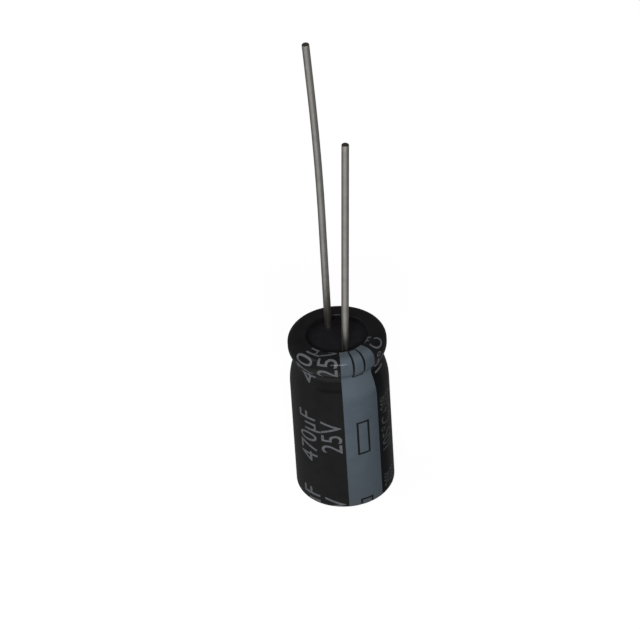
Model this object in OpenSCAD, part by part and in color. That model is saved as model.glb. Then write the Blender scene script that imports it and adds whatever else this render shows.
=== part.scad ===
// Radial electrolytic capacitor, standing on the closed end of its can with
// its two leads up. X runs through both leads, negative lead at +X.

/* [Case] */
// Diameter over the sleeve
case_d = 8; // [7.5:0.5:12]
// Height from the closed end to the rim
case_h = 15; // [13:0.5:25]
// Rounding at the edge of the closed end
foot_round = 0.6; // [0.5:0.05:0.8]

/* [Crimp] */
// Depth of the bead that grips the seal
groove_depth = 0.5; // [0.4:0.01:0.55]
// Rounding at the bottom of the bead
groove_round = 0.65; // [0.5:0.05:0.8]
// Rounding where the wall runs into the bead
shoulder_round = 5.5; // [4:0.1:6]
// Rounding of the lobe between bead and rim
lobe_round = 1.0; // [0.8:0.05:1.2]
// Straight band between lobe and rim
rim_band = 0.3; // [0.1:0.05:0.6]
// Rounding of the rim
rim_round = 0.7; // [0.6:0.05:0.8]
// How far the rim stays inside the wall, on the radius
rim_inset = 0.02; // [0:0.01:0.05]
// Angle through which the edge of the can curls over the seal
curl_angle = 205; // [195:1:220]

/* [Sleeve] */
// Thickness of the shrunk sleeve
sleeve_t = 0.1; // [0.06:0.01:0.14]
// Slope of the sleeve's lap over the rim
lap_slope_angle = 3; // [1:0.5:6]
// Rounding where the lap turns down into the mouth
lip_round = 0.2; // [0.16:0.01:0.28]
// Clearance between the turned-down edge and the curl of the can
lip_clear = 0.11; // [0.05:0.01:0.2]
// Clearance between the turned-down edge and the rubber
lip_gap = 0.12; // [0.06:0.01:0.15]
// Lap of the sleeve under the closed end, on the radius
foot_lap = 1.2; // [0.9:0.05:1.8]

/* [Stripe] */
// Width of the printed stripe
stripe_w = 3.07; // [2:0.01:4]
// Thickness of the printed layer
ink_t = 0.015; // [0.01:0.001:0.03]
// Turn of the stripe away from the negative lead
stripe_turn_angle = 3; // [-10:1:10]
// Place on the rounded foot where the stripe starts, up from the closed end
stripe_foot_angle = 45; // [30:5:60]
// Width of a minus mark
mark_w = 1.13; // [0.8:0.01:1.6]
// Length of a minus mark
mark_l = 3.3; // [2.5:0.1:4]
// Line of a minus mark
mark_line = 0.14; // [0.1:0.01:0.2]
// Step from mark to mark
mark_pitch = 7.8; // [6:0.1:9]
// Height of the middle of the first whole mark
mark_z = 7.07; // [5:0.01:9]

/* [Can] */
// Wall of the aluminium can
can_t = 0.25; // [0.2:0.01:0.3]
// Closed end of the can
can_end_t = 0.35; // [0.3:0.01:0.45]
// Length of each line of the vent cross
vent_l = 4.4; // [3:0.1:5]
// Width of a vent line
vent_w = 0.14; // [0.1:0.01:0.2]
// Depth of a vent line
vent_depth = 0.15; // [0.1:0.01:0.2]

/* [Seal] */
// Depth of the rubber face below the rim
face_below_rim = 0.6; // [0.5:0.05:0.8]
// Height of the rubber seal
seal_h = 2.7; // [2.5:0.05:3.2]
// Chamfer round the inner end of the seal
seal_chamfer = 0.25; // [0.15:0.05:0.35]
// Swell of the rubber face
seal_crown = 0.08; // [0.02:0.01:0.15]
// Radial clearance of a lead in its bore
fit_gap = 0.01; // [0.005:0.005:0.02]

/* [Leads] */
// Distance between the leads
lead_pitch = 3.5; // [3:0.1:4]
// Diameter of a lead wire
lead_d = 0.6; // [0.5:0.05:0.7]
// Chamfer on the cut tip of a lead
lead_tip = 0.08; // [0.03:0.01:0.12]
// Direction in which the leads lean at their feet
lean_turn_angle = 69; // [0:1:359]
// Radius of the bend at the foot of each lead
foot_bend_r = 40; // [20:1:60]
// Length of the negative lead beyond the seal
cathode_length = 20; // [15:0.1:30]
// Lean of the negative lead
cathode_lean_angle = 2.9; // [0.5:0.1:4]
// Length of the positive lead beyond the seal
anode_length = 27.3; // [24:0.1:40]
// Lean of the positive lead at its foot
anode_lean_angle = 0.3; // [0.3:0.1:1]
// Straight stretch of the positive lead
anode_straight = 10; // [4:0.5:12]
// Radius of its slow bow back over the other side
anode_bow_r = 280; // [100:5:320]
// Angle of that bow
anode_bow_angle = 2.6; // [1:0.1:3]

/* [Tabs] */
// Diameter of a tab's round stem
stem_d = 1.0; // [0.8:0.05:1.1]
// Depth of the weld below the rubber face
weld_depth = 0.5; // [0.4:0.05:0.7]
// Taper of the stem up to the wire
stem_taper = 0.15; // [0.1:0.01:0.2]
// Thickness of a tab's flat paddle
tab_t = 0.2; // [0.15:0.01:0.25]
// Height of the neck between paddle and stem
tab_neck = 0.7; // [0.5:0.05:1]
// Distance of a paddle from the lower edge of the foils
tab_rise = 1; // [0.5:0.1:3]

/* [Winding] */
// Diameter of the hollow core
core_d = 1.6; // [1.2:0.1:2]
// Thickness of the etched anode foil
anode_t = 0.1; // [0.08:0.01:0.12]
// Thickness of the cathode foil
cathode_t = 0.03; // [0.02:0.005:0.05]
// Thickness of a paper separator
paper_t = 0.05; // [0.04:0.005:0.06]
// Clearance between two layers
layer_gap = 0.005; // [0.003:0.001:0.008]
// Reach of the paper beyond the foils at each end
paper_margin = 0.5; // [0.3:0.05:0.8]
// Clearance between winding and can
winding_gap = 0.1; // [0.08:0.01:0.2]
// Thickness of the tape that holds the winding
tape_t = 0.05; // [0.04:0.005:0.08]
// Distance of the tape from the ends of the winding
tape_margin = 1.5; // [1:0.1:3]

/* [Hidden] */
$fn = 96;
eps = 0.05;
arc_step_angle = 5;

case_r = case_d / 2;
can_out = sleeve_t;
can_in = sleeve_t + can_t;

// The crimp: each arc touches the next, so the depth of the bead and the
// rounding on both sides of it set the heights
bead_r = case_r - groove_depth;
rim_r = case_r - rim_inset;
rim_z = case_h - rim_round;
upper_s = groove_round + lobe_round;
upper_d = rim_r - bead_r;
upper_dz = sqrt(upper_d * (2 * upper_s - upper_d));
upper_a = asin(upper_dz / upper_s);
lobe_z = rim_z - rim_band;
bead_z = lobe_z - upper_dz;
lower_s = groove_round + shoulder_round;
lower_dz = sqrt(groove_depth * (2 * lower_s - groove_depth));
lower_a = asin(lower_dz / lower_s);
shoulder_z = bead_z - lower_dz;
lap_a = 90 + lap_slope_angle;
lap_r = rim_r - 2 * rim_round - lip_clear;

// The seal
face_z = case_h - face_below_rim;
lip_z = face_z + lip_gap;
seal_z = face_z - seal_h;
seal_edge_z = seal_z + seal_chamfer;
seal_a = asin((seal_edge_z - shoulder_z) / (shoulder_round - can_in));
curl_r = rim_round - can_out;
face_a = 180 - asin((face_z - rim_z) / curl_r);
weld_z = face_z - weld_depth;
bend_z = face_z + seal_crown;
lead_x = lead_pitch / 2;
lead_r = lead_d / 2;
lead_swell = 0.002;
lead_sunk = 0.1;
stem_r = stem_d / 2;

// The winding: one pitch holds anode foil, paper, cathode foil, paper
bore_r = case_r - can_in;
floor_z = sleeve_t + can_end_t;
paper_z = floor_z + winding_gap;
paper_top = seal_z - tab_neck;
foil_z = paper_z + paper_margin;
foil_top = paper_top - paper_margin;
core_r = core_d / 2;
at_anode = 0;
at_inner = at_anode + anode_t + layer_gap;
at_cathode = at_inner + paper_t + layer_gap;
at_outer = at_cathode + cathode_t + layer_gap;
layer_pitch = at_outer + paper_t + layer_gap;
tab_lift = tab_t + layer_gap;
tab_half_angle = 30;
tab_fade_angle = 30;
step_angle = 15;
foil_start_angle = 90;
anode_short_angle = 360;
inner_short_angle = 180;
cathode_short_angle = 90;
tape_back_angle = 300;
tape_past_angle = 45;
tape_drop_angle = 30;
room = bore_r - winding_gap - core_r - layer_pitch - tab_lift - tape_t;
end_a = floor(room / layer_pitch * 360 / step_angle) * step_angle;
reach = lead_x - tab_t / 2 - core_r;
anode_a = 180 + 360 * round((reach - at_inner) / layer_pitch - 0.5);
cathode_a = 360 * round((reach - at_outer) / layer_pitch);

// Points on an arc, from angle a to angle b
function arc(c, r, a, b) =
    let (n = ceil(abs(b - a) / arc_step_angle))
    [for (k = [0:n]) c + r * [cos(a + (b - a) * k / n), sin(a + (b - a) * k / n)]];

function reversed(p) = [for (k = [len(p) - 1:-1:0]) p[k]];

// Half profile of the foot, moved inward by t, from angle a below the horizontal
function foot_path(t, foot_z, a) =
    arc([case_r - foot_round, foot_z + foot_round - t], foot_round - t, -a, 0);

// Half profile from the straight wall over bead and lobe to the rim. All its
// offsets break the shoulder at the edge of the seal
function crimp_path(t) = concat(
    arc([case_r - shoulder_round, shoulder_z], shoulder_round - t, 0, seal_a),
    seal_path(t)
);
function seal_path(t) = concat(
    arc([case_r - shoulder_round, shoulder_z], shoulder_round - t, seal_a, lower_a),
    arc([bead_r + groove_round, bead_z], groove_round + t, 180 + lower_a, 180 - upper_a),
    arc([rim_r - lobe_round, lobe_z], lobe_round - t, -upper_a, 0),
    arc([rim_r - rim_round, rim_z], rim_round - t, 0, lap_a)
);

// Point at radius x on the lap over the rim, which runs on from the rim's arc
function lap_point(t, x) =
    let (r = rim_round - t, x0 = rim_r - rim_round + r * cos(lap_a))
    [x, rim_z + r * sin(lap_a) - (x0 - x) * tan(lap_slope_angle)];

// The lap's edge at depth t, turned down into the mouth as far as height z
function lip_path(t, z) = concat(
    arc(lap_point(lip_round, lap_r + lip_round), lip_round - t, lap_a, 180), [[lap_r + t, z]]
);

// Curled edge of the can at depth t: free part, then the part in the rubber
function curl_free(t) = arc([rim_r - rim_round, rim_z], rim_round - t, lap_a, face_a);
function curl_sunk(t) = arc([rim_r - rim_round, rim_z], rim_round - t, face_a, curl_angle);

function sleeve_path(t) = concat(
    [[case_r - foot_lap, t]], foot_path(t, t, 90), crimp_path(t), lip_path(t, lip_z)
);

function stripe_path(t, past) = concat(
    foot_path(t, t, 90 - stripe_foot_angle), crimp_path(t), lip_path(t, lip_z - past)
);

function can_path(t, foot_z) = concat(
    [[0, foot_z]], foot_path(t, foot_z, 90), crimp_path(t), curl_free(t), curl_sunk(t)
);

// Sector of the sleeve's surface that the stripe covers, out to height over
module stripe_band(over, past) {
    angle = stripe_w / (PI * case_d) * 360;
    rotate([0, 0, stripe_turn_angle - angle / 2])
    rotate_extrude(angle = angle)
    polygon(concat(stripe_path(ink_t, past), reversed(stripe_path(-over, past))));
}

module sleeve() {
    color("#1b1b1d")
    difference() {
        rotate_extrude()
        polygon(concat(sleeve_path(0), reversed(sleeve_path(can_out))));
        stripe_band(eps, eps);
    }
}

// Outline of one minus mark, standing off the axis along X
module minus_mark() {
    difference() {
        translate([0, -mark_w / 2, -mark_l / 2])
        cube([case_d, mark_w, mark_l]);
        translate([-eps, -mark_w / 2 + mark_line, -mark_l / 2 + mark_line])
        cube([case_d + 2 * eps, mark_w - 2 * mark_line, mark_l - 2 * mark_line]);
    }
}

// Printed stripe, flush in the sleeve, with the outlines of its minus marks
// left open. It starts on the rounded foot, clear of the resting face
module polarity_stripe() {
    color("#48505c")
    difference() {
        stripe_band(0, 0);
        rotate([0, 0, stripe_turn_angle]) {
            for (k = [-1:1]) {
                translate([0, 0, mark_z + k * mark_pitch])
                minus_mark();
            }
        }
    }
}

module can() {
    foot_in = sleeve_t + can_end_t;
    color("#b9bcc0")
    difference() {
        rotate_extrude()
        polygon(concat(can_path(can_out, can_out), reversed(can_path(can_in, foot_in))));
        for (a = [45, 135]) {
            rotate([0, 0, a])
            translate([-vent_l / 2, -vent_w / 2, sleeve_t - eps])
            cube([vent_l, vent_w, vent_depth + eps]);
        }
    }
}

// Space for one lead in the seal: stem, weld and wire
module lead_bore(x) {
    translate([x, 0, seal_z - eps])
    cylinder(h = weld_z - seal_z + eps, r = stem_r + fit_gap);
    translate([x, 0, seal_z])
    cylinder(h = case_h - seal_z, r = lead_r + fit_gap);
}

module rubber_seal() {
    edge_r = case_r - shoulder_round + (shoulder_round - can_in) * cos(seal_a);
    mouth_r = rim_r - rim_round + curl_r * cos(face_a);
    crown_s = (mouth_r * mouth_r + seal_crown * seal_crown) / (2 * seal_crown);
    crown_a = asin(mouth_r / crown_s);
    color("#1c1719")
    difference() {
        rotate_extrude()
        polygon(concat(
            [[0, seal_z], [edge_r - seal_chamfer, seal_z]],
            seal_path(can_in), curl_free(can_in), curl_sunk(can_in),
            reversed(curl_sunk(can_out)),
            arc([0, face_z + seal_crown - crown_s], crown_s, 90 - crown_a, 90)
        ));
        lead_bore(lead_x);
        lead_bore(-lead_x);
    }
}

// A lead is a chain of wire, from the weld on its tab: foot, bends, straight run
// and free end, each with the next one on its end. Straight stretches run a
// little way into the bends, which are a hair thicker
module lead_foot() {
    foot = bend_z - weld_z;
    cylinder(h = foot + lead_sunk, r = lead_r);
    translate([0, 0, foot])
    children();
}

module bend(r, angle) {
    translate([r, 0, 0])
    rotate([90, 0, 180])
    rotate_extrude(angle = angle)
    translate([r, 0])
    circle(r = lead_r + lead_swell);
    translate([r * (1 - cos(angle)), 0, r * sin(angle)])
    rotate([0, angle, 0])
    children();
}

module straight_run(length) {
    translate([0, 0, -lead_sunk])
    cylinder(h = length + 2 * lead_sunk, r = lead_r);
    translate([0, 0, length])
    children();
}

module free_end(length) {
    rotate_extrude()
    polygon([
        [0, -lead_sunk], [lead_r, -lead_sunk], [lead_r, length - lead_tip],
        [lead_r - lead_tip, length], [0, length]
    ]);
}

function bend_length(r, angle) = r * angle * PI / 180;

module cathode_lead() {
    used = seal_crown + bend_length(foot_bend_r, cathode_lean_angle);
    color("#8d8780")
    translate([lead_x, 0, weld_z])
    rotate([0, 0, lean_turn_angle])
    lead_foot()
    bend(foot_bend_r, cathode_lean_angle)
    free_end(cathode_length - used);
}

module anode_lead() {
    used = seal_crown + bend_length(foot_bend_r, anode_lean_angle)
        + anode_straight + bend_length(anode_bow_r, anode_bow_angle);
    color("#8d8780")
    translate([-lead_x, 0, weld_z])
    rotate([0, 0, lean_turn_angle])
    lead_foot()
    bend(foot_bend_r, anode_lean_angle)
    straight_run(anode_straight)
    rotate([0, 0, 180])
    bend(anode_bow_r, anode_bow_angle)
    free_end(anode_length - used);
}

// Share of the lift over a tab's paddle, at an angle a from its middle
function bulge(a) =
    let (d = abs(a - 360 * round(a / 360)))
    d <= tab_half_angle ? 1 :
    d >= tab_half_angle + tab_fade_angle ? 0 :
    (1 + cos(180 * (d - tab_half_angle) / tab_fade_angle)) / 2;

// Radius of the winding at angle a along the spiral. A layer that lies outside
// a tab in the tab's own turn is lifted from that turn on, the others from the next
function spiral_r(a, at, past_anode, past_cathode) =
    core_r + layer_pitch * a / 360 + at
    + (a > anode_a + 180 - 360 * past_anode ? tab_lift * bulge(a - anode_a) : 0)
    + (a > cathode_a + 180 - 360 * past_cathode ? tab_lift * bulge(a - cathode_a) : 0);

// One strip of the winding, from angle a to angle b, t thick, seen from above
module strip(a, b, at, t, past_anode, past_cathode) {
    turn = [for (k = [a:step_angle:b]) k];
    polygon(concat(
        [for (k = turn) spiral_r(k, at, past_anode, past_cathode) * [cos(k), sin(k)]],
        [for (k = reversed(turn)) (spiral_r(k, at, past_anode, past_cathode) + t) * [cos(k), sin(k)]]
    ));
}

module anode_foil() {
    color("#8f9296")
    translate([0, 0, foil_z])
    linear_extrude(height = foil_top - foil_z)
    strip(foil_start_angle, end_a - anode_short_angle, at_anode, anode_t, 0, 0);
}

module inner_separator() {
    color("#cdb88e")
    translate([0, 0, paper_z])
    linear_extrude(height = paper_top - paper_z)
    strip(0, end_a - inner_short_angle, at_inner, paper_t, 1, 0);
}

module cathode_foil() {
    color("#c3c6ca")
    translate([0, 0, foil_z])
    linear_extrude(height = foil_top - foil_z)
    strip(foil_start_angle, end_a - cathode_short_angle, at_cathode, cathode_t, 1, 0);
}

module outer_separator() {
    color("#cdb88e")
    translate([0, 0, paper_z])
    linear_extrude(height = paper_top - paper_z)
    strip(0, end_a, at_outer, paper_t, 1, 1);
}

// Tape once round the winding, stepping down past the end of the paper
module fixing_tape() {
    start = end_a - tape_back_angle;
    stop = end_a + tape_past_angle;
    turn = [for (k = [start:step_angle:stop]) k];
    drop = [for (k = turn) layer_pitch * (1 - max(0, min(1, (k - end_a) / tape_drop_angle)))];
    r = [for (k = [0:len(turn) - 1]) spiral_r(turn[k], drop[k], 1, 1)];
    color("#a8782f")
    translate([0, 0, paper_z + tape_margin])
    linear_extrude(height = paper_top - paper_z - 2 * tape_margin)
    polygon(concat(
        [for (k = [0:len(turn) - 1]) r[k] * [cos(turn[k]), sin(turn[k])]],
        [for (k = [len(turn) - 1:-1:0]) (r[k] + tape_t) * [cos(turn[k]), sin(turn[k])]]
    ));
}

// Paddle in the winding, neck, round stem in the seal and its taper to the wire
module tab(x, a, at, past_anode, past_cathode) {
    paddle_z = foil_z + tab_rise;
    translate([0, 0, paddle_z])
    linear_extrude(height = paper_top + 2 * eps - paddle_z)
    strip(a - tab_half_angle, a + tab_half_angle, at, tab_t, past_anode, past_cathode);
    hull() {
        translate([0, 0, paper_top + eps])
        linear_extrude(height = eps)
        strip(a - tab_half_angle, a + tab_half_angle, at, tab_t, past_anode, past_cathode);
        translate([x, 0, seal_z - eps])
        cylinder(h = eps, r = stem_r, $fn = 32);
    }
    translate([x, 0, seal_z - eps])
    cylinder(h = weld_z - stem_taper - seal_z + eps, r = stem_r);
    translate([x, 0, weld_z - stem_taper])
    cylinder(h = stem_taper, r1 = stem_r, r2 = lead_r);
}

module anode_tab() {
    color("#aeb1b5")
    tab(-lead_x, anode_a, at_inner, 0, 0);
}

module cathode_tab() {
    color("#aeb1b5")
    tab(lead_x, cathode_a, at_outer, 1, 0);
}

sleeve();
polarity_stripe();
can();
rubber_seal();
anode_lead();
cathode_lead();
anode_tab();
cathode_tab();
anode_foil();
cathode_foil();
inner_separator();
outer_separator();
fixing_tape();
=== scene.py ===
"""Looks of the radial electrolytic capacitor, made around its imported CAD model.

Everything is in metres in the row frame: Z up through the case, X through the leads, negative
lead at +X. A place on the printed film is (angle, way), where way is the length along the film,
equal to the height on the straight wall. A flat pattern for it is drawn as (angle times case_r,
way). Left, right, near and far are as the photo's camera sees the case.
"""

import bisect
import math

import bmesh
import bpy
from mathutils import Matrix, Vector, noise


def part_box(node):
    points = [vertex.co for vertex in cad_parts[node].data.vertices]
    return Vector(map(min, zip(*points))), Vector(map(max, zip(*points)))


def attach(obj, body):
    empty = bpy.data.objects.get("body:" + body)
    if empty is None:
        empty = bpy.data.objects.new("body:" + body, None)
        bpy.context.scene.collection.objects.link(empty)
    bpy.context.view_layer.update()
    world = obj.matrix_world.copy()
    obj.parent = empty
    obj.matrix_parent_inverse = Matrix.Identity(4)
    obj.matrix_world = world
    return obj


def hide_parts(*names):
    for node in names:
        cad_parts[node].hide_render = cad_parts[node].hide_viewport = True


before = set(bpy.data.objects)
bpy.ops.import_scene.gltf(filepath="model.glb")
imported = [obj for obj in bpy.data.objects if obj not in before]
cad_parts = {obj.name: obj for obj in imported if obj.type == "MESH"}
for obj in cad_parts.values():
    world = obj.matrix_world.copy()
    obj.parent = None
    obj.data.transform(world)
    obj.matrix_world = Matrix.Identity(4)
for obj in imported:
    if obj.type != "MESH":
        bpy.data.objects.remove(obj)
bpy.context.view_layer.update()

MM = 0.001
DEG = math.pi / 180
UP = Vector((0, 0, 1))
SAME_PLACE = 1e-8

# Case, as the CAD model has it
case_r = round(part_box("sleeve")[1][0], 5)
case_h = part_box("sleeve")[1][2]
foot_round = 0.6 * MM
groove_depth = 0.5 * MM
groove_round = 0.65 * MM
shoulder_round = 5.5 * MM
lobe_round = 1.0 * MM
rim_band = 0.3 * MM
rim_round = 0.7 * MM
rim_inset = 0.02 * MM
lap_slope = 3 * DEG
lip_round = 0.2 * MM
lip_clear = 0.11 * MM
lip_gap = 0.12 * MM
foot_lap = 1.2 * MM
sleeve_t = 0.1 * MM

# Fineness and unevenness of the film's mesh. The grains are noise scales
film_columns = 256
wall_step = 0.25 * MM
edge_step = 0.15 * MM
lap_step = 0.1 * MM
arc_step = 3 * DEG
lip_step = 6 * DEG
wall_ripple = 0.0025 * MM
wall_grain = 700
lap_pleat = 0.014 * MM
pleat_grain = 1900
flat_foot = 0.3 * MM

# Print
stripe_w = 3.07 * MM
stripe_turn = 3 * DEG
stripe_foot = 45 * DEG
stripe_cell = 0.09 * MM
mark_w = 1.13 * MM
mark_l = 3.3 * MM
mark_line = 0.18 * MM
mark_way = 7.07 * MM
mark_draw = 0.2 * MM
print_pitch = 7.8 * MM
print_foot = 20 * DEG
print_margin = 0.05 * MM
print_cell = 0.11 * MM
ink_lift = 0.008 * MM
ink_depth = 0.02 * MM

# Seal and leads
face_z = case_h - 0.6 * MM
seal_crown = 0.08 * MM
lead_pitch = 3.5 * MM
lead_r = 0.3 * MM
lead_root = 0.4 * MM
lead_step = 0.25 * MM
lead_sides = 40
lead_uneven = 0.006
lead_grain = 1500
lean_turn = 69 * DEG
foot_bend_r = 40 * MM
cathode_length = 20 * MM
cathode_lean = 2.9 * DEG
anode_length = 27.3 * MM
anode_lean = 0.3 * DEG
anode_straight = 10 * MM
anode_bow_r = 280 * MM
anode_bow = 2.6 * DEG

# Nipped tip of a lead, as (share of lead_tip, share of the wire's radius) for each ring
lead_tip = 0.08 * MM
lead_nip = ((0.4, 0.97), (0.75, 0.9), (0.95, 0.78))

# Where the tone of the film and the stripe changes: (azimuth, zero, one) for Surface.round_about,
# (low, high) for Surface.height, (low, high, soft) for Surface.band
lobe_fade = (13.2 * MM, 14.2 * MM)
# Band of painted light in the groove of the film
groove_light_band = (13.1 * MM, 13.7 * MM, 0.5 * MM)
# Painted sheen on the sides of the film, by angle round the case
painted_sheen_turn = (-9 * DEG, 41 * DEG, 87 * DEG)
# Painted shade in a strip right of the stripe
right_shade_turn = (29 * DEG, 15 * DEG, 6 * DEG)
# The crease on the shoulder: real relief, with painted shade in it
crease_band = (11.9 * MM, 11.98 * MM, 0.24 * MM)
crease_turn = (-30 * DEG, 24 * DEG, 14 * DEG)
crease_depth = 0.01 * MM
# Painted light inside the film's mouth, but for the far side
lip_fade = (14.2 * MM, 14.4 * MM)
lip_turn = (159 * DEG, 50 * DEG, 80 * DEG)
lip_inside, lip_soft = 2.44 * MM, 0.08 * MM
stripe_foot_fade = (1 * MM, 6 * MM)
stripe_lap_fade = (14.5 * MM, 14.9 * MM)
# Painted light on the stripe where the shoulder faces up
stripe_shoulder_lit = (11.6 * MM, 12.7 * MM, 0.7 * MM)
stripe_shade_turn = (-18 * DEG, 18 * DEG, 50 * DEG)

# Tones of the film and its print
film_tones = (0.0053, 0.0053, 0.0056), (0.0077, 0.0077, 0.0082)
# Painted sheen on the film's sides and painted light in its groove
film_painted_sheen = (0.0172, 0.0175, 0.0175)
# Painted shade in a strip right of the stripe
film_right_shade = (0.0015, 0.0022, 0.003)
# Painted shade in the crease
film_crease_shade = (0.0015, 0.0015, 0.0016)
# Painted light inside the mouth
film_lip_light = (0.018, 0.018, 0.019)
stripe_tones = (0.0525, 0.067, 0.081), (0.0615, 0.078, 0.094)
stripe_shade_tone = (0.041, 0.051, 0.062)
stripe_foot_tone = (0.05, 0.0615, 0.074)
stripe_lap_tone = (0.074, 0.093, 0.11)
# Painted light on the stripe's upward-facing shoulder
stripe_shoulder_lit_tone = (0.079, 0.098, 0.118)
ink_full_tone = (0.084, 0.087, 0.095)
# The rating ink with painted shade, for the print on the wall right of the stripe
ink_shaded = (0.036, 0.038, 0.04)
ink_uneven = 0.14

# Thin gloss on the film and its print
film_gloss = {"Specular_IOR_Level": 0.0, "Coat_Weight": 0.14, "Coat_Roughness": 0.15,
              "Coat_IOR": 1.5}

# Studio. The pool is the floor's light toward the key lamp, as gloss shows it
floor_r = 3.0
floor_drop = 0.02 * MM
floor_level = 1.09
floor_share = 0.85
pool_az = -38 * DEG
pool_edge = 0.35
pool_dim, pool_bright = 0.4, 1.06
sky_seen, sky_gloss, sky_light = 1.0, 0.5, 0.18
lamp_aim = Vector((0, 0, 12 * MM))
lamp_far = 0.5


def set_in(node, **values):
    """Sets a node's inputs by name, with _ for a space."""
    for name, value in values.items():
        node.inputs[name.replace("_", " ")].default_value = value


def opaque(colour):
    return (*colour, 1.0)


class Surface:
    """A procedural material: a Principled shader with noise in its colour, roughness and bump.

    Each method that returns something returns a node's output.
    """

    def __init__(self, name, **shader):
        self.mat = bpy.data.materials.new(name)
        self.mat.use_nodes = True
        self.tree = self.mat.node_tree
        self.nodes = self.tree.nodes
        self.shader = self.nodes["Principled BSDF"]
        set_in(self.shader, **shader)
        self.place = self.nodes.new("ShaderNodeTexCoord").outputs["Object"]
        self.normal = None

    def link(self, a, b):
        self.tree.links.new(a, b)

    def stretch(self, x, y, z):
        """Object coordinates scaled along each axis."""
        m = self.nodes.new("ShaderNodeMapping")
        m.inputs["Scale"].default_value = (x, y, z)
        self.link(self.place, m.inputs["Vector"])
        return m.outputs["Vector"]

    def noise(self, scale, detail=3.0, rough=0.55, distort=0.0, vector=None):
        n = self.nodes.new("ShaderNodeTexNoise")
        set_in(n, Scale=scale, Detail=detail, Roughness=rough, Distortion=distort)
        self.link(vector or self.place, n.inputs["Vector"])
        return n.outputs["Fac"]

    def ramp(self, fac, *stops):
        """Colour ramp over fac. Each stop is (fac, colour)."""
        r = self.nodes.new("ShaderNodeValToRGB")
        elements = r.color_ramp.elements
        while len(elements) < len(stops):
            elements.new(0.5)
        for element, (at, colour) in zip(elements, stops):
            element.position = at
            element.color = opaque(colour)
        self.link(fac, r.inputs["Fac"])
        return r.outputs["Color"]

    def span(self, fac, low, high, a=0.3, b=0.7):
        """Number from low to high as fac goes from a to b."""
        m = self.nodes.new("ShaderNodeMapRange")
        set_in(m, From_Min=a, From_Max=b, To_Min=low, To_Max=high)
        self.link(fac, m.inputs["Value"])
        return m.outputs["Result"]

    def combine(self, operation, a, b):
        """A sum or the like of two outputs, or of an output and a number, kept from 0 to 1."""
        m = self.nodes.new("ShaderNodeMath")
        m.operation = operation
        m.use_clamp = True
        for socket, value in zip(m.inputs, (a, b)):
            if isinstance(value, float):
                socket.default_value = value
            else:
                self.link(value, socket)
        return m.outputs[0]

    def times(self, a, b):
        return self.combine("MULTIPLY", a, b)

    def height(self, low, high, fac_low=0.0, fac_high=1.0):
        """From fac_low to fac_high as the place goes from height low to height high."""
        xyz = self.nodes.new("ShaderNodeSeparateXYZ")
        self.link(self.place, xyz.inputs[0])
        return self.span(xyz.outputs["Z"], fac_low, fac_high, low, high)

    def band(self, low, high, soft):
        """1 between two heights, and 0 from soft beyond them."""
        above = self.height(low - soft, low)
        below = self.height(high, high + soft, 1.0, 0.0)
        return self.times(above, below)

    def round_about(self, azimuth, zero, one):
        """From 0 to 1 as the angle round the case between a place and azimuth goes from zero
        to one."""
        way = self.nodes.new("ShaderNodeVectorMath")
        way.operation = "NORMALIZE"
        self.link(self.stretch(1, 1, 0), way.inputs[0])
        dot = self.nodes.new("ShaderNodeVectorMath")
        dot.operation = "DOT_PRODUCT"
        self.link(way.outputs["Vector"], dot.inputs[0])
        dot.inputs[1].default_value = (math.cos(azimuth), math.sin(azimuth), 0)
        return self.span(dot.outputs["Value"], 0.0, 1.0, math.cos(zero), math.cos(one))

    def within(self, radius, soft):
        """1 up to a radius round the case's axis, and 0 from soft beyond it."""
        far = self.nodes.new("ShaderNodeVectorMath")
        far.operation = "LENGTH"
        self.link(self.stretch(1, 1, 0), far.inputs[0])
        return self.span(far.outputs["Value"], 1.0, 0.0, radius, radius + soft)

    def blend(self, fac, tone, colour):
        """Mixes a colour into a tone by fac."""
        m = self.nodes.new("ShaderNodeMix")
        m.data_type = "RGBA"
        self.link(fac, m.inputs[0])
        self.link(tone, m.inputs[6])
        m.inputs[7].default_value = opaque(colour)
        return m.outputs[2]

    def color(self, out):
        self.link(out, self.shader.inputs["Base Color"])

    def roughness(self, out):
        self.link(out, self.shader.inputs["Roughness"])

    def bump(self, out, height):
        """Adds relief of that height in metres on top of what is there."""
        b = self.nodes.new("ShaderNodeBump")
        set_in(b, Strength=1.0, Distance=height)
        self.link(out, b.inputs["Height"])
        if self.normal:
            self.link(self.normal, b.inputs["Normal"])
        self.normal = b.outputs["Normal"]
        self.link(self.normal, self.shader.inputs["Normal"])

    def orange_peel(self):
        """Skin of the shrunk film, fine and coarse."""
        self.bump(self.noise(5200, 2), 0.0005 * MM)
        self.bump(self.noise(1100, 2), 0.003 * MM)


def film_black():
    """Black shrink film, creased on the shoulder left of the stripe. Its colour holds painted
    light: a painted sheen on its sides, painted light in the groove and inside its mouth but for
    the far side, and painted shade in a strip right of the stripe and in the crease."""
    s = Surface("film_black", **film_gloss)
    tone = s.ramp(s.noise(900, 4), (0.35, film_tones[0]), (0.7, film_tones[1]))
    # Painted sheen on the sides and painted light in the groove, mixed into the film's colour
    sides = s.times(s.round_about(*painted_sheen_turn), s.height(*lobe_fade, 1.0, 0.0))
    painted_sheen = s.combine("ADD", sides, s.band(*groove_light_band))
    tone = s.blend(s.times(painted_sheen, s.span(s.noise(1200, 4), 0.75, 1.0)), tone, film_painted_sheen)
    # Painted shade in a strip right of the stripe, fading out toward the lobe
    right_shade = s.times(s.round_about(*right_shade_turn), s.height(*lobe_fade, 0.8, 0.0))
    tone = s.blend(right_shade, tone, film_right_shade)
    # The crease's relief, and painted shade in it
    fold = s.times(s.band(*crease_band), s.round_about(*crease_turn))
    tone = s.blend(s.times(fold, 0.8), tone, film_crease_shade)
    # Painted light inside the mouth, but for the far side
    lip = s.times(s.within(lip_inside, lip_soft), s.height(*lip_fade))
    s.color(s.blend(s.times(lip, s.round_about(*lip_turn)), tone, film_lip_light))
    s.roughness(s.span(s.noise(1400, 5, 0.6), 0.35, 0.5))
    s.bump(s.combine("SUBTRACT", 1.0, fold), crease_depth)
    s.orange_peel()
    return s.mat


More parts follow.
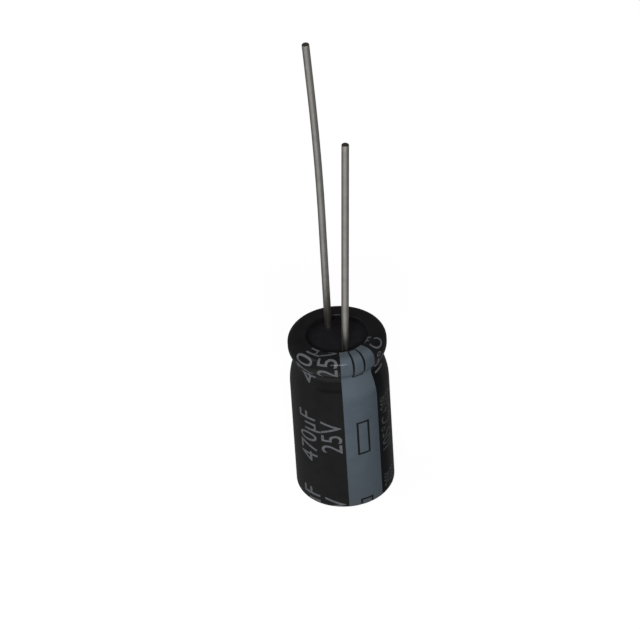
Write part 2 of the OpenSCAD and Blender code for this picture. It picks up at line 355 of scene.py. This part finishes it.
def stripe_grey():
    """Slate grey print, with painted shade away from its left edge and painted light on the
    shoulder below the groove, which faces up. It is darker toward the foot and paler on the lap."""
    s = Surface("stripe_grey", **film_gloss)
    tone = s.ramp(s.noise(1300, 5), (0.3, stripe_tones[0]), (0.72, stripe_tones[1]))
    tone = s.blend(s.round_about(*stripe_shade_turn), tone, stripe_shade_tone)
    tone = s.blend(s.height(*stripe_foot_fade, 1.0, 0.0), tone, stripe_foot_tone)
    tone = s.blend(s.height(*stripe_lap_fade, 0.0, 0.85), tone, stripe_lap_tone)
    # Painted light on the shoulder, which faces up
    s.color(s.blend(s.times(s.band(*stripe_shoulder_lit), 0.5), tone, stripe_shoulder_lit_tone))
    s.roughness(s.span(s.noise(1500, 4), 0.4, 0.55))
    s.orange_peel()
    return s.mat


def print_grey(name, tone):
    """Ink of the rating, uneven in its tone."""
    s = Surface(name, **film_gloss)
    low = tuple((1 - ink_uneven) * c for c in tone)
    high = tuple((1 + ink_uneven) * c for c in tone)
    s.color(s.ramp(s.noise(3000, 4), (0.3, low), (0.7, high)))
    s.roughness(s.span(s.noise(2500, 3), 0.38, 0.5))
    s.bump(s.noise(9000, 2), 0.001 * MM)
    return s.mat


def tinned_wire():
    """Dull tin on drawn wire: streaks along it, and cloudy oxide."""
    s = Surface("tinned_wire", Metallic=1.0, Specular_Tint=(0.3, 0.29, 0.27, 1))
    streak = s.noise(9000, 3, 0.6, vector=s.stretch(1, 1, 0.04))
    cloud = s.noise(1600, 5, 0.6)
    s.color(s.ramp(cloud, (0.25, (0.22, 0.2135, 0.2)), (0.5, (0.26, 0.2525, 0.237)),
                   (0.78, (0.3, 0.291, 0.273))))
    s.roughness(s.span(streak, 0.32, 0.46))
    s.bump(streak, 0.003 * MM)
    s.bump(s.noise(4500, 4), 0.002 * MM)
    return s.mat


def cut_steel():
    """Bare steel core of the wire, where it was cut."""
    s = Surface("cut_steel", Metallic=1.0)
    s.color(s.ramp(s.noise(7000, 4), (0.3, (0.03, 0.026, 0.021)), (0.7, (0.08, 0.069, 0.056))))
    s.roughness(s.span(s.noise(5000, 3), 0.45, 0.65))
    s.bump(s.noise(9000, 3), 0.006 * MM)
    return s.mat


def seal_rubber():
    s = Surface("seal_rubber", IOR=1.1)
    s.color(s.ramp(s.noise(2600, 5), (0.3, (0.0086, 0.0082, 0.0094)),
                   (0.75, (0.013, 0.0124, 0.0142))))
    s.roughness(s.span(s.noise(3000, 4), 0.6, 0.8))
    s.bump(s.noise(6500, 4, 0.6), 0.003 * MM)
    return s.mat


def drawn_aluminium(name, low, high, dull):
    """Aluminium with drawing lines up the case, between two tones."""
    s = Surface(name, Metallic=1.0)
    drawn = s.noise(2600, 4, 0.6, vector=s.stretch(1, 1, 0.08))
    s.color(s.ramp(drawn, (0.3, low), (0.7, high)))
    s.roughness(s.span(s.noise(1800, 3), dull - 0.06, dull + 0.08))
    s.bump(drawn, 0.002 * MM)
    return s.mat


def separator_paper():
    s = Surface("separator_paper", Roughness=0.85)
    fibre = s.noise(3500, 6, 0.7, 0.6)
    s.color(s.ramp(fibre, (0.3, (0.42, 0.31, 0.15)), (0.7, (0.62, 0.49, 0.28))))
    s.bump(fibre, 0.01 * MM)
    return s.mat


def amber_tape():
    s = Surface("amber_tape", IOR=1.45)
    s.color(s.ramp(s.noise(1500, 3), (0.3, (0.33, 0.15, 0.03)), (0.7, (0.45, 0.23, 0.05))))
    s.roughness(s.span(s.noise(1700, 3), 0.25, 0.4))
    s.bump(s.noise(2500, 2), 0.002 * MM)
    return s.mat


def arc(cx, cz, r, a, b, step=arc_step):
    """Points on an arc round (cx, cz), from angle a to angle b."""
    n = max(2, math.ceil(abs(b - a) / step))
    return [(cx + r * math.cos(a + (b - a) * k / n), cz + r * math.sin(a + (b - a) * k / n))
            for k in range(n + 1)]


def line(p, q, step=wall_step):
    """Points from p to q, no more than step apart."""
    n = max(1, math.ceil(math.dist(p, q) / step))
    return [(p[0] + (q[0] - p[0]) * k / n, p[1] + (q[1] - p[1]) * k / n) for k in range(n + 1)]


def tangent_rise(depth, radii):
    """Height and angle between two touching arcs whose radii add up to radii."""
    rise = math.sqrt(depth * (2 * radii - depth))
    return rise, math.asin(rise / radii)


def film_profile(t):
    """Half profile (radius, height) of the film at depth t, from its lower edge to its lap."""
    quarter = math.pi / 2
    bead_r = case_r - groove_depth
    rim_r = case_r - rim_inset
    rim_z = case_h - rim_round
    upper, upper_a = tangent_rise(rim_r - bead_r, groove_round + lobe_round)
    lower, lower_a = tangent_rise(groove_depth, groove_round + shoulder_round)
    lobe_z = rim_z - rim_band
    bead_z = lobe_z - upper
    shoulder_z = bead_z - lower
    mouth_r = rim_r - 2 * rim_round - lip_clear
    lip_r = mouth_r + lip_round
    lap_z = rim_z + (rim_round - lip_round) / math.cos(lap_slope)
    lip_z = lap_z - (rim_r - rim_round - lip_r) * math.tan(lap_slope)
    foot = arc(case_r - foot_round, foot_round, foot_round - t, -quarter, 0)
    rim = arc(rim_r - rim_round, rim_z, rim_round - t, 0, quarter + lap_slope)
    lip = arc(lip_r, lip_z, lip_round - t, quarter + lap_slope, math.pi, lip_step)
    parts = [
        line((case_r - foot_lap, t), foot[0], edge_step),
        foot,
        line((case_r - t, foot_round), (case_r - t, shoulder_z)),
        arc(case_r - shoulder_round, shoulder_z, shoulder_round - t, 0, lower_a),
        arc(bead_r + groove_round, bead_z, groove_round + t, math.pi + lower_a, math.pi - upper_a),
        arc(rim_r - lobe_round, lobe_z, lobe_round - t, -upper_a, 0),
        line((rim_r - t, lobe_z), (rim_r - t, rim_z), edge_step),
        rim,
        line(rim[-1], lip[0], lap_step),
        lip,
        line(lip[-1], (mouth_r + t, face_z + lip_gap), lap_step),
    ]
    points = []
    for part in parts:
        for p in part:
            if not points or math.dist(p, points[-1]) > SAME_PLACE:
                points.append(p)
    return points


def around(angle, r, z):
    """The vector with radius r and height z, turned round the case's axis by angle."""
    return Vector((r * math.cos(angle), r * math.sin(angle), z))


def share(value, low, high):
    """How far a value is from low to high, kept from 0 to 1."""
    return min(max((value - low) / (high - low), 0.0), 1.0)


def ripple(p, at_lap):
    """Unevenness of the shrunk film at a point: faint on the wall, pleated where it laps."""
    wall = noise.noise(p * wall_grain) * wall_ripple
    pleat = noise.noise(Vector((p.x, p.y, 0)) * pleat_grain) * lap_pleat
    return wall + pleat * at_lap


class Film:
    """The outer surface of the sleeve, addressed by angle and way."""

    def __init__(self, points):
        self.points = points
        ways = [0.0]
        for p, q in zip(points, points[1:]):
            ways.append(ways[-1] + math.dist(p, q))
        on_wall = next(k for k, p in enumerate(points) if p[1] > foot_round - SAME_PLACE)
        shift = points[on_wall][1] - ways[on_wall]
        self.ways = [w + shift for w in ways]
        self.start, self.end = self.ways[0], self.ways[-1]
        self.lap_start = self.end - (case_r - points[-1][0])

    def profile(self, way):
        """Radius and height of the film at a way, and the same two of its outward normal."""
        k = min(max(bisect.bisect_right(self.ways, way) - 1, 0), len(self.ways) - 2)
        f = share(way, self.ways[k], self.ways[k + 1])
        r, z = (a + (b - a) * f for a, b in zip(self.points[k], self.points[k + 1]))
        nr, nz = (a + (b - a) * f for a, b in zip(self.slope(k), self.slope(k + 1)))
        size = math.hypot(nr, nz)
        return r, z, nr / size, nz / size

    def slope(self, k):
        """Outward normal at point k, from its two neighbours."""
        p = self.points[max(k - 1, 0)]
        q = self.points[min(k + 1, len(self.points) - 1)]
        size = math.dist(p, q)
        return (q[1] - p[1]) / size, -(q[0] - p[0]) / size

    def place(self, angle, way, lift=0.0):
        """Point on the uneven film, or lifted off it. The film is even where it stands."""
        r, z, nr, nz = self.profile(way)
        p = around(angle, r, z)
        uneven = ripple(p, share(way, self.lap_start, self.end)) * share(z, 0.0, flat_foot)
        return p + around(angle, nr, nz) * (lift + uneven)

    def round_foot(self, turn):
        """The way at which the film has turned by an angle round the foot of the case."""
        return self.start + foot_lap - foot_round + foot_round * turn


film = Film(film_profile(0.0))


def mesh_object(name, bm, *mats):
    """Turns a bmesh into an object of the scene."""
    mesh = bpy.data.meshes.new(name)
    bm.to_mesh(mesh)
    bm.free()
    for mat in mats:
        mesh.materials.append(mat)
    obj = bpy.data.objects.new(name, mesh)
    bpy.context.scene.collection.objects.link(obj)
    return obj


def solid_object(name, bm, *mats):
    """The same for a closed shell, with its normals turned outward."""
    bmesh.ops.recalc_face_normals(bm, faces=bm.faces)
    return mesh_object(name, bm, *mats)


def finish_piece(obj, slot, *nodes, smooth=35):
    """Smooth shading with sharp folds kept, and the piece's place in the frame."""
    mesh = obj.data
    for p in mesh.polygons:
        p.use_smooth = True
    mesh.set_sharp_from_angle(angle=smooth * DEG)
    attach(obj, "root")
    if nodes:
        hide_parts(*nodes)


def join_rings(bm, low, high):
    """Adds the faces between two rings that have as many vertices."""
    n = len(low)
    return [bm.faces.new((low[k], low[(k + 1) % n], high[(k + 1) % n], high[k]))
            for k in range(n)]


def sleeve():
    """The film as a closed shell: printed side, two edges and the side on the can.

    Near the mouth the side on the can follows the pleats of the printed side.
    """
    angles = [2 * math.pi * k / film_columns for k in range(film_columns)]
    bm = bmesh.new()
    rows = [[bm.verts.new(film.place(a, way)) for a in angles] for way in film.ways]
    pleats = [film.place(a, film.end) - around(a, *film.points[-1]) for a in angles]
    inner = film_profile(sleeve_t)[::-1]
    for p in inner[::2] + [inner[-1]]:
        near = max(0.0, 1 - math.dist(p, inner[0]) / MM)
        rows.append([bm.verts.new(around(a, *p) + pleat * near)
                     for a, pleat in zip(angles, pleats)])
    rows.append(rows[0])
    for low, high in zip(rows, rows[1:]):
        join_rings(bm, low, high)
    obj = solid_object("sleeve_film", bm, film_black())
    finish_piece(obj, "sleeve_film", "sleeve")


def lay_on_film(bm, name, mat):
    """Turns a flat pattern into a thin solid print on the film."""
    def copies(out, lift):
        return {v: out.verts.new(film.place(v.co.x / case_r, v.co.y, lift)) for v in bm.verts}

    out = bmesh.new()
    top = copies(out, ink_lift)
    low = copies(out, ink_lift - ink_depth)
    for f in bm.faces:
        out.faces.new([top[v] for v in f.verts])
        out.faces.new([low[v] for v in reversed(f.verts)])
        for loop in f.loops:
            if len(loop.edge.link_faces) == 1:
                a, b = loop.vert, loop.link_loop_next.vert
                out.faces.new((top[b], top[a], low[a], low[b]))
    bm.free()
    return solid_object(name, out, mat)


def cuts(low, high, step, extra):
    """Sorted places from low to high about step apart, with the extra ones among them. An even
    place too near an extra one is left out."""
    n = math.ceil((high - low) / step)
    keep = [e for e in extra if low < e < high]
    grid = [low + (high - low) * k / n for k in range(n + 1)]
    grid = [g for g in grid if all(abs(g - e) > 0.25 * step for e in keep)] + keep
    return sorted(set(grid + [low, high]))


def on_mark_line(x, y, mark):
    """Whether a place is on the line of the hollow minus mark whose middle is at (0, mark)."""
    def inside(inset):
        return abs(x) < mark_w / 2 - inset and abs(y - mark) < mark_l / 2 - inset

    return inside(0.0) and not inside(mark_line)


def polarity_stripe():
    """Grey stripe with three hollow minus marks, in whose lines the black film shows. The film
    is drawn down at the bead, and the upper mark with it."""
    middle = stripe_turn * case_r
    marks = (mark_way - print_pitch, mark_way, mark_way + print_pitch - mark_draw)
    sides = [s * (mark_w / 2 - inset) for s in (-1, 1) for inset in (0.0, mark_line)]
    ends = [m + s * (mark_l / 2 - inset)
            for m in marks for s in (-1, 1) for inset in (0.0, mark_line)]
    across = cuts(-stripe_w / 2, stripe_w / 2, stripe_cell, sides)
    along = cuts(film.round_foot(stripe_foot), film.end, stripe_cell, ends)
    bm = bmesh.new()
    grid = [[bm.verts.new((middle + x, y, 0)) for x in across] for y in along]
    for j, (y0, y1) in enumerate(zip(along, along[1:])):
        for i, (x0, x1) in enumerate(zip(across, across[1:])):
            x, y = (x0 + x1) / 2, (y0 + y1) / 2
            if not any(on_mark_line(x, y, m) for m in marks):
                bm.faces.new((grid[j][i], grid[j][i + 1], grid[j + 1][i + 1], grid[j + 1][i]))
    for v in [v for v in bm.verts if not v.link_faces]:
        bm.verts.remove(v)
    obj = lay_on_film(bm, "polarity_stripe_print", stripe_grey())
    finish_piece(obj, "stripe_ink", "polarity_stripe")


def text_pattern(text, length, cap_h, base, start):
    """Flat pattern of a line of print that reads up the film from start. Its baseline is at
    base, on its right."""
    curve = bpy.data.curves.new("print_line", "FONT")
    curve.body = text
    curve.resolution_u = 6
    holder = bpy.data.objects.new("print_line", curve)
    bpy.context.scene.collection.objects.link(holder)
    bpy.context.view_layer.update()
    shown = holder.evaluated_get(bpy.context.evaluated_depsgraph_get())
    flat = bpy.data.meshes.new_from_object(shown)
    left = min(v.co.x for v in flat.vertices)
    right = max(v.co.x for v in flat.vertices)
    along = length / (right - left)
    up = cap_h / max(v.co.y for v in flat.vertices)
    flat.transform(Matrix((
        (0, -up, 0, base),
        (along, 0, 0, start - left * along),
        (0, 0, 1, 0),
        (0, 0, 0, 1),
    )))
    bm = bmesh.new()
    bm.from_mesh(flat)
    bpy.data.objects.remove(holder)
    bpy.data.curves.remove(curve)
    bpy.data.meshes.remove(flat)
    return bm


def slice_pattern(bm):
    """Clips a flat pattern to the film, and cuts it into cells fine enough to follow it."""
    def cut(axis, at, **clear):
        place, normal = [0, 0, 0], [0, 0, 0]
        place[axis], normal[axis] = at, 1
        geometry = list(bm.verts) + list(bm.edges) + list(bm.faces)
        bmesh.ops.bisect_plane(bm, geom=geometry, plane_co=place, plane_no=normal, **clear)

    cut(1, film.round_foot(print_foot), clear_inner=True)
    cut(1, film.end - print_margin, clear_outer=True)
    for axis in (0, 1):
        low = min(v.co[axis] for v in bm.verts)
        high = max(v.co[axis] for v in bm.verts)
        n = math.ceil((high - low) / print_cell)
        for k in range(1, n):
            cut(axis, low + (high - low) * k / n)
    bmesh.ops.remove_doubles(bm, verts=bm.verts, dist=SAME_PLACE)


def rating_print():
    """Generic rating in two lines left of the stripe. Right of it are a temperature and a
    tolerance, in ink with painted shade on the wall and in the ink's full tone on the lap. All of
    it repeats up the film."""
    full_tone = print_grey("print_grey", ink_full_tone)
    # A copy of the ink with painted shade
    shaded = print_grey("print_shaded", ink_shaded)

    # Name, text, length, height of its capitals, baseline's azimuth, start, ink on the wall
    lines = [
        ("value", "470µF", 5.0 * MM, 1.68 * MM, -54 * DEG, 4.5 * MM, full_tone),
        ("voltage", "25V", 3.15 * MM, 1.72 * MM, -23 * DEG, 5.8 * MM, full_tone),
        ("temperature", "105°C", 3.35 * MM, 1.5 * MM, 51.5 * DEG, 4.6 * MM, shaded),
        ("tolerance", "±20%", 1.9 * MM, 1.5 * MM, 51.5 * DEG, 8.2 * MM, shaded),
    ]
    for name, text, length, cap_h, base, start, ink in lines:
        for step, repeat_ink in ((-1, ink), (0, ink), (1, full_tone)):
            bm = text_pattern(text, length, cap_h, base * case_r, start + step * print_pitch)
            slice_pattern(bm)
            piece = lay_on_film(bm, f"print_{name}_{step + 2}", repeat_ink)
            finish_piece(piece, "stripe_ink")


def lead_points(x, length, moves):
    """Places along the middle of a lead and the lead's direction there, from inside the seal
    to where its tip begins.

    moves holds (straight, bend radius, bend angle), with the angle toward the lean.
    """
    out = around(lean_turn, 1.0, 0.0)
    at = Vector((x, 0, face_z - lead_root))
    lean = 0.0
    left = length - seal_crown
    stations = [(at, UP)]

    def heading():
        return out * math.sin(lean) + UP * math.cos(lean)

    def go(distance, angle=0.0):
        nonlocal at, lean
        n = max(1, math.ceil(distance / lead_step))
        for _ in range(n):
            lean += angle / n / 2
            at = at + heading() * distance / n
            lean += angle / n / 2
            stations.append((at, heading()))

    go(lead_root + seal_crown)
    for straight, radius, angle in moves:
        if straight:
            go(straight)
        go(radius * abs(angle), angle)
        left -= straight + radius * abs(angle)
    go(left - lead_tip)
    return stations


def lead(name, node, wire, cut, **shape):
    """A drawn wire with a faintly uneven skin and a nipped tip."""
    path = lead_points(**shape)
    last, way = path[-1]
    stations = [(p, d, 1.0) for p, d in path]
    stations += [(last + way * lead_tip * up, way, size) for up, size in lead_nip]
    bm = bmesh.new()
    rings = []
    for p, d, size in stations:
        side = d.cross(Vector((0, 1, 0))).normalized()
        other = d.cross(side)
        ring = []
        for k in range(lead_sides):
            a = 2 * math.pi * k / lead_sides
            spoke = side * math.cos(a) + other * math.sin(a)
            skin = 1 + lead_uneven * noise.noise((p + spoke * lead_r) * lead_grain)
            ring.append(bm.verts.new(p + spoke * lead_r * size * skin))
        rings.append(ring)
    tip = bm.verts.new(last + way * lead_tip)
    cut_faces = []
    for k, (low, high) in enumerate(zip(rings, rings[1:])):
        faces = join_rings(bm, low, high)
        if k >= len(path):
            cut_faces += faces
    bm.faces.new(rings[0][::-1])
    end = rings[-1]
    for k in range(lead_sides):
        cut_faces.append(bm.faces.new((end[k], end[(k + 1) % lead_sides], tip)))
    for f in cut_faces:
        f.material_index = 1
    obj = solid_object(name, bm, wire, cut)
    finish_piece(obj, "tinned_wire", node, smooth=50)


def leads():
    wire, cut = tinned_wire(), cut_steel()
    lead("short_lead", "cathode_lead", wire, cut, x=lead_pitch / 2, length=cathode_length,
         moves=[(0.0, foot_bend_r, cathode_lean)])
    lead("long_lead", "anode_lead", wire, cut, x=-lead_pitch / 2, length=anode_length,
         moves=[(0.0, foot_bend_r, anode_lean), (anode_straight, anode_bow_r, -anode_bow)])


def inner_parts():
    """Gives the CAD nodes that stay as they are their materials."""
    can = drawn_aluminium("can_aluminium", (0.48, 0.49, 0.5), (0.62, 0.63, 0.64), 0.36)
    foil = drawn_aluminium("plain_foil", (0.5, 0.51, 0.52), (0.66, 0.67, 0.68), 0.35)
    etched = drawn_aluminium("etched_foil", (0.26, 0.27, 0.28), (0.38, 0.39, 0.4), 0.6)
    pressed = drawn_aluminium("pressed_tab", (0.45, 0.46, 0.47), (0.6, 0.61, 0.62), 0.4)
    paper = separator_paper()
    looks = {
        "can": can,
        "rubber_seal": seal_rubber(),
        "anode_foil": etched,
        "cathode_foil": foil,
        "anode_tab": pressed,
        "cathode_tab": pressed,
        "inner_separator": paper,
        "outer_separator": paper,
        "fixing_tape": amber_tape(),
    }
    for node, mat in looks.items():
        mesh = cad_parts[node].data
        mesh.materials.clear()
        mesh.materials.append(mat)


def ray_level(tree, camera, gloss, diffuse=0.0):
    """A level for rays from the camera, one for rays off gloss or glass, one for diffuse light."""
    path = tree.nodes.new("ShaderNodeLightPath")
    levels = {"Is Camera Ray": camera, "Is Glossy Ray": gloss, "Is Transmission Ray": gloss}
    total = None
    for name, level in levels.items():
        step = tree.nodes.new("ShaderNodeMath")
        step.operation = "MULTIPLY_ADD"
        step.inputs[1].default_value = level - diffuse
        step.inputs[2].default_value = diffuse
        tree.links.new(path.outputs[name], step.inputs[0])
        if total:
            tree.links.new(total, step.inputs[2])
        total = step.outputs[0]
    return total


def floor_glow(tree):
    """White to the camera. Gloss shows the floor as a pool of light toward the key lamp."""
    way = tree.nodes.new("ShaderNodeVectorMath")
    way.operation = "NORMALIZE"
    tree.links.new(tree.nodes.new("ShaderNodeNewGeometry").outputs["Position"], way.inputs[0])
    toward = tree.nodes.new("ShaderNodeVectorMath")
    toward.operation = "DOT_PRODUCT"
    tree.links.new(way.outputs["Vector"], toward.inputs[0])
    toward.inputs[1].default_value = (math.cos(pool_az), math.sin(pool_az), 0)
    pool = tree.nodes.new("ShaderNodeMapRange")
    pool.interpolation_type = "SMOOTHSTEP"
    set_in(pool, From_Min=pool_edge, From_Max=1.0, To_Min=pool_dim, To_Max=pool_bright)
    tree.links.new(toward.outputs["Value"], pool.inputs["Value"])
    rest = tree.nodes.new("ShaderNodeMath")
    rest.operation = "SUBTRACT"
    rest.inputs[0].default_value = floor_level
    tree.links.new(pool.outputs["Result"], rest.inputs[1])
    total = tree.nodes.new("ShaderNodeMath")
    total.operation = "MULTIPLY_ADD"
    seen = tree.nodes.new("ShaderNodeLightPath").outputs["Is Camera Ray"]
    for socket, value in zip(total.inputs, (seen, rest.outputs[0], pool.outputs["Result"])):
        tree.links.new(value, socket)
    return total.outputs[0]


def white_floor():
    """A floor that keeps a soft shadow: mostly glow to the camera, and plain white card to
    diffuse light."""
    mat = bpy.data.materials.new("studio_white")
    mat.use_nodes = True
    tree = mat.node_tree
    tree.nodes.clear()
    card = tree.nodes.new("ShaderNodeBsdfDiffuse")
    card.inputs["Color"].default_value = (0.8, 0.8, 0.8, 1)
    glow = tree.nodes.new("ShaderNodeEmission")
    tree.links.new(floor_glow(tree), glow.inputs["Strength"])
    mix = tree.nodes.new("ShaderNodeMixShader")
    out = tree.nodes.new("ShaderNodeOutputMaterial")
    tree.links.new(ray_level(tree, floor_share, 1.0), mix.inputs["Fac"])
    tree.links.new(card.outputs[0], mix.inputs[1])
    tree.links.new(glow.outputs[0], mix.inputs[2])
    tree.links.new(mix.outputs[0], out.inputs["Surface"])
    bm = bmesh.new()
    bmesh.ops.create_circle(bm, cap_ends=True, segments=96, radius=floor_r)
    floor = mesh_object("studio_floor", bm, mat)
    floor.location.z = -floor_drop


def surround():
    """White to the camera, and a dimmer even light to all else."""
    world = bpy.data.worlds.new("studio_world")
    world.use_nodes = True
    bpy.context.scene.world = world
    tree = world.node_tree
    back = tree.nodes["Background"]
    back.inputs["Color"].default_value = (1, 1, 1, 1)
    tree.links.new(ray_level(tree, sky_seen, sky_gloss, sky_light), back.inputs["Strength"])


def soft_lamp(name, azimuth, elevation, wide, high, power):
    light = bpy.data.lights.new(name, "AREA")
    light.shape = "RECTANGLE"
    light.size = wide
    light.size_y = high
    light.energy = power
    obj = bpy.data.objects.new(name, light)
    bpy.context.scene.collection.objects.link(obj)
    away = around(azimuth, math.cos(elevation), math.sin(elevation))
    obj.location = lamp_aim + away * lamp_far
    obj.rotation_euler = away.to_track_quat("Z", "Y").to_euler()


def camera():
    """The photo's camera. It looks down at the case from 0.4 m and is rolled a little."""
    azimuth, elevation, roll = 69 * DEG, 37.2 * DEG, -3.8 * DEG
    distance = 400 * MM
    aim_height, aim_side, aim_up = 8 * MM, -1.688 * MM, 6.993 * MM
    turn = Matrix.Rotation(azimuth, 3, "Z")
    back = turn @ Vector((0, -math.cos(elevation), math.sin(elevation)))
    right = turn @ Vector((1, 0, 0))
    up = back.cross(right)
    side = right * math.cos(roll) + up * math.sin(roll)
    top = -right * math.sin(roll) + up * math.cos(roll)
    aim = UP * aim_height + side * aim_side + top * aim_up
    cam = bpy.data.cameras.new("camera")
    cam.sensor_width = 36
    cam.lens = 279.8
    cam.clip_start = 0.01
    cam.clip_end = 20
    obj = bpy.data.objects.new("camera", cam)
    bpy.context.scene.collection.objects.link(obj)
    pose = Matrix((side, top, back)).transposed().to_4x4()
    pose.translation = aim + back * distance
    obj.matrix_world = pose
    bpy.context.scene.camera = obj


sleeve()
polarity_stripe()
rating_print()
leads()
inner_parts()
white_floor()
surround()
soft_lamp("key", -21 * DEG, 27 * DEG, wide=0.27, high=0.09, power=2.4)
soft_lamp("left", -105 * DEG, 40 * DEG, wide=0.3, high=0.3, power=0.7)
camera()
bpy.context.scene.view_settings.view_transform = "Standard"
